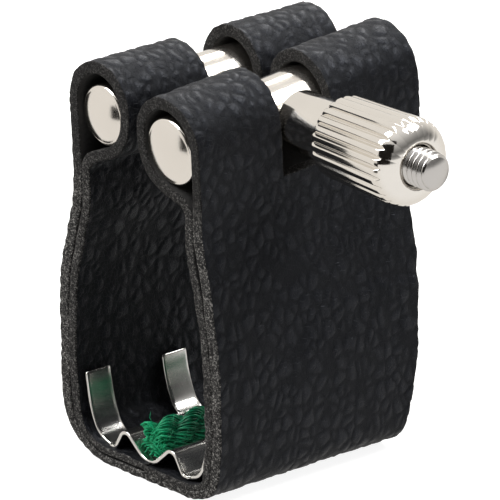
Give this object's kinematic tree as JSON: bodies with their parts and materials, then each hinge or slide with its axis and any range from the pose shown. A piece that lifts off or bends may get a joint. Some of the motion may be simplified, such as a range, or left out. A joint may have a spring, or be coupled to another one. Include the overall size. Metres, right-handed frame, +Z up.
{
  "type": "saxophone ligature",
  "caption": "Leather ligature band with two looped metal bars, a stud and thumb nut that draw them together, and a sprung reed plate.",
  "frame": {"origin": "on the band's flat underside, midway between the bars and straight below the stud's axis", "axes": "+Z up from the reed side to the bars, +Y along the mouthpiece axis, +X towards the thumb nut"},
  "size_m": [0.0421, 0.0283, 0.042],
  "materials": {
    "leather": "pebbled black grain leather, soft sheen",
    "lining_leather": "pebbled black grain leather, facing inward",
    "bar_nickel": "polished nickel plate",
    "stud_nickel": "polished nickel plate, machined end",
    "nut_nickel": "polished nickel plate",
    "plate_nickel": "bright rolled sheet",
    "green_cord": "glossy twisted fibre"
  },
  "bodies": {
    "band": {"leather_strap": "leather", "inner_lining": "lining_leather", "left_bar": "bar_nickel", "clamp_stud": "stud_nickel", "reed_plate": "plate_nickel", "damping_cord": "green_cord"},
    "clamp_bar": {"right_bar": "bar_nickel", "leather_right_loops": "leather"},
    "nut": {"thumb_nut": "nut_nickel"}
  },
  "joints": [
    {"name": "bar_slide", "type": "slide", "parent": "band", "child": "clamp_bar", "axis": [1, 0, 0], "range_m": [-0.0009, 0.0021]},
    {"name": "nut_spin", "type": "hinge", "parent": "clamp_bar", "child": "nut", "pos_m": [0.0156, 0, 0.0362], "axis": [1, 0, 0], "range_deg": [-464, 1081]}
  ],
  "couplings": [
    {"joint": "nut_spin", "follows": "bar_slide", "rad_per_m": 8976}
  ]
}
